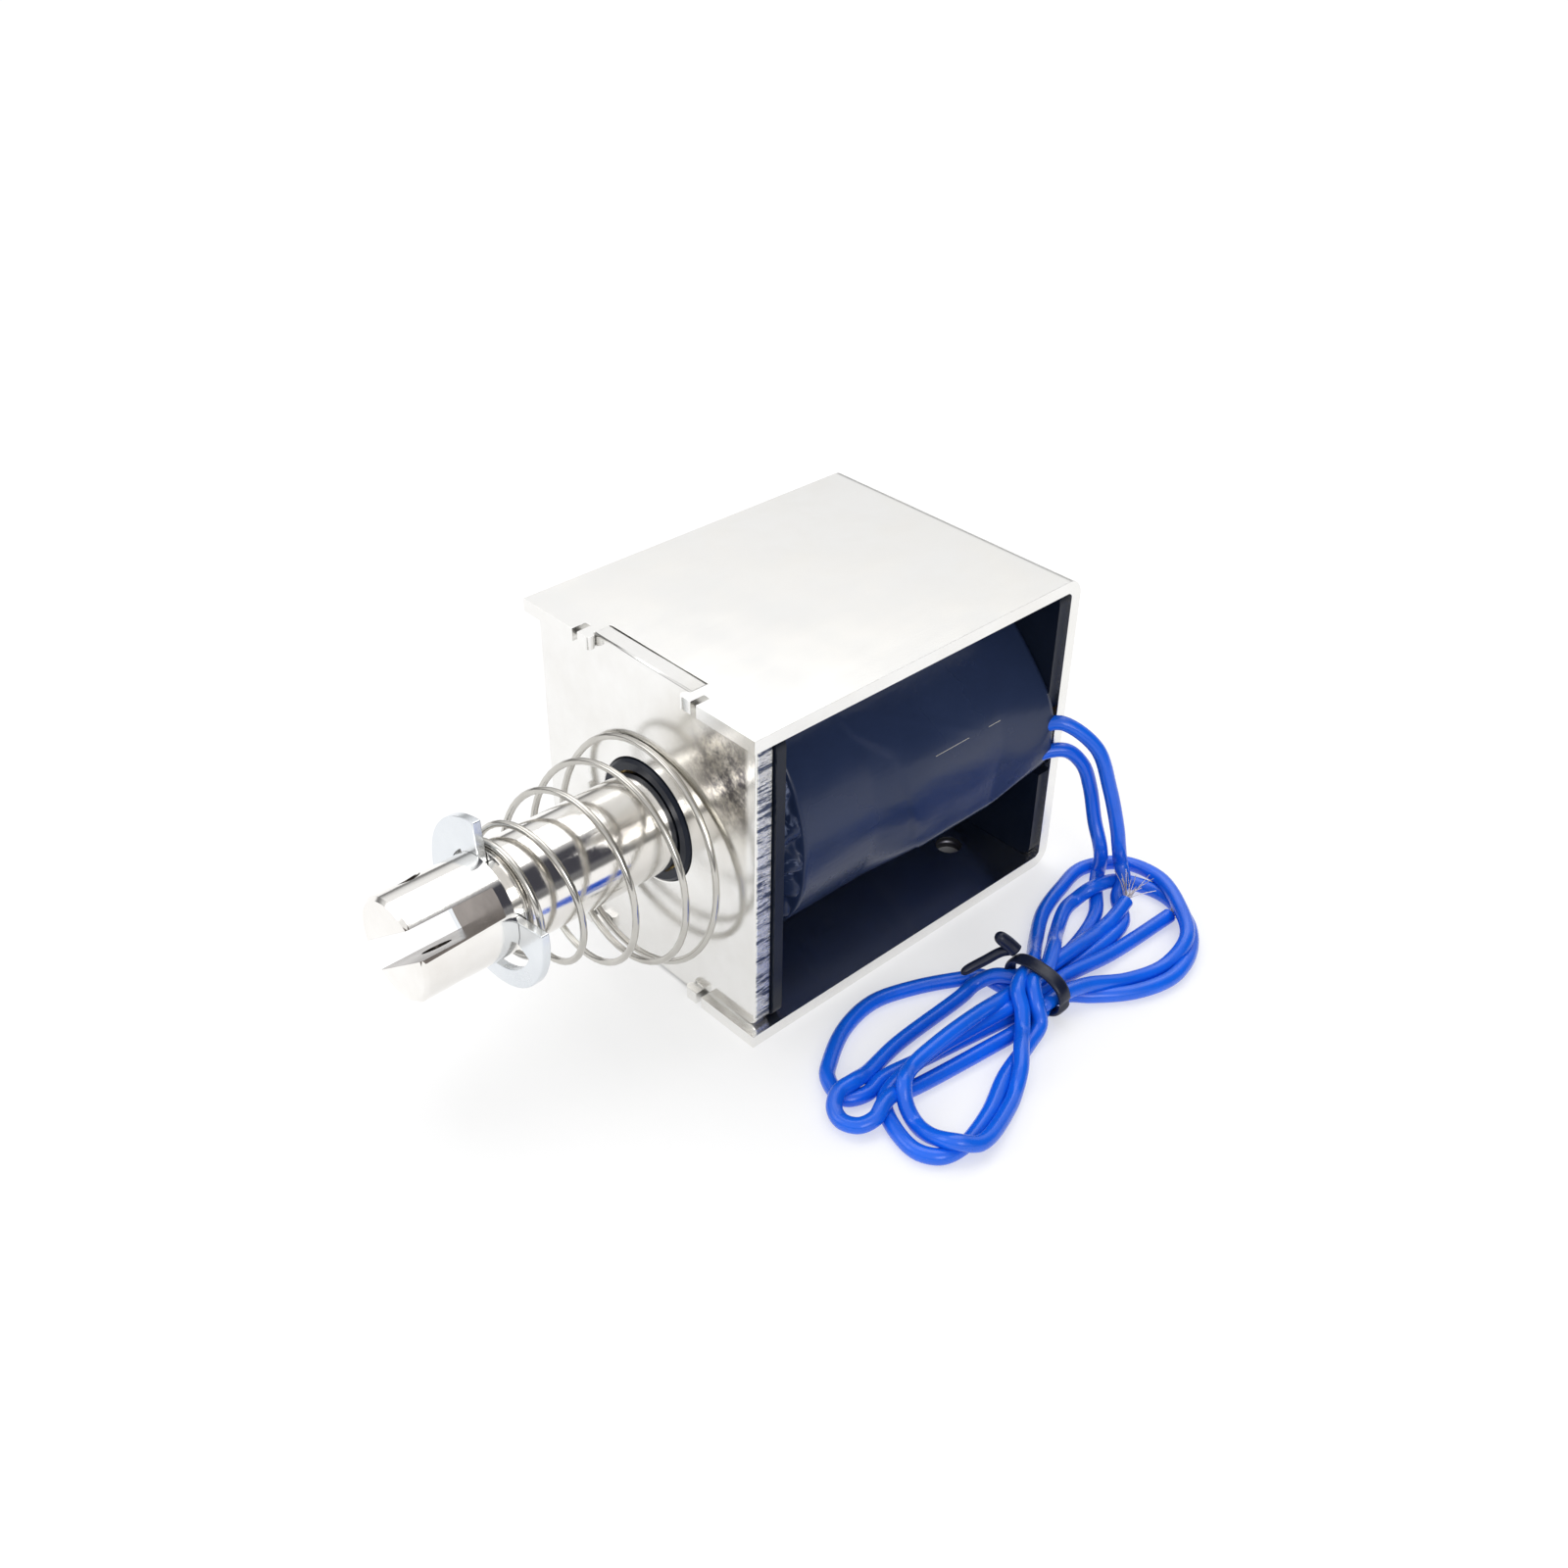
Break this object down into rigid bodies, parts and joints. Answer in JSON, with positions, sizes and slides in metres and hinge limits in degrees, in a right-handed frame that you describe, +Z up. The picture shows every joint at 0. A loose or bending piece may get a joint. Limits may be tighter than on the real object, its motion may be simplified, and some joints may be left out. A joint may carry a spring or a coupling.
{
  "type": "push pull solenoid",
  "caption": "Open frame push pull solenoid: bent steel frame round a taped coil, sliding plunger with clevis nose, conical return spring and flying leads.",
  "frame": {"origin": "centre of the base's four holes, on the underside", "axes": "+X along the plunger, out of the frame; +Y the side the leads leave on; +Z up from the base"},
  "size_m": [0.113, 0.0835, 0.052],
  "materials": {
    "frame_plating": "satin nickel plate",
    "plunger_plating": "bright nickel plate",
    "ring_zinc": "bright zinc plate",
    "spring_steel": "drawn wire",
    "bobbin_nylon": "moulded",
    "coil_tape": "glossy wrapped tape",
    "copper": "enamelled copper",
    "brass": "drawn brass",
    "film": "clear yellow film",
    "solder": "tinned",
    "sleeving": "woven sleeving",
    "lead_insulation": "extruded, semi gloss",
    "tie": "extruded"
  },
  "bodies": {
    "frame_body": {"frame": "frame_plating", "front_plate": "frame_plating", "bobbin": "bobbin_nylon", "guide_tube": "brass", "core_wrap": "film", "winding": "copper", "under_tape": "film", "coil_tape": "coil_tape", "fixed_core": "plunger_plating", "residual_shim": "brass", "start_wire": "copper", "finish_wire": "copper", "joint_a": "solder", "joint_b": "solder", "sleeve_a": "sleeving", "sleeve_b": "sleeving", "lead_a": "lead_insulation", "lead_b": "lead_insulation", "lead_hank": "lead_insulation", "lead_tie": "tie", "lead_tip_a": "solder", "lead_tip_b": "solder", "return_spring": "spring_steel"},
    "ring_body": {"retaining_ring": "ring_zinc"},
    "plunger_body": {"plunger": "plunger_plating"}
  },
  "joints": [
    {"name": "plunger_slide", "type": "slide", "parent": "frame_body", "child": "ring_body", "axis": [1, 0, 0], "range_m": [-0.01, 0], "stiffness_N_per_m": 300, "deforming": ["return_spring"]},
    {"name": "plunger_turn", "type": "hinge", "parent": "ring_body", "child": "plunger_body", "pos_m": [0.0572, 0, 0.026], "axis": [1, 0, 0], "continuous": true}
  ]
}
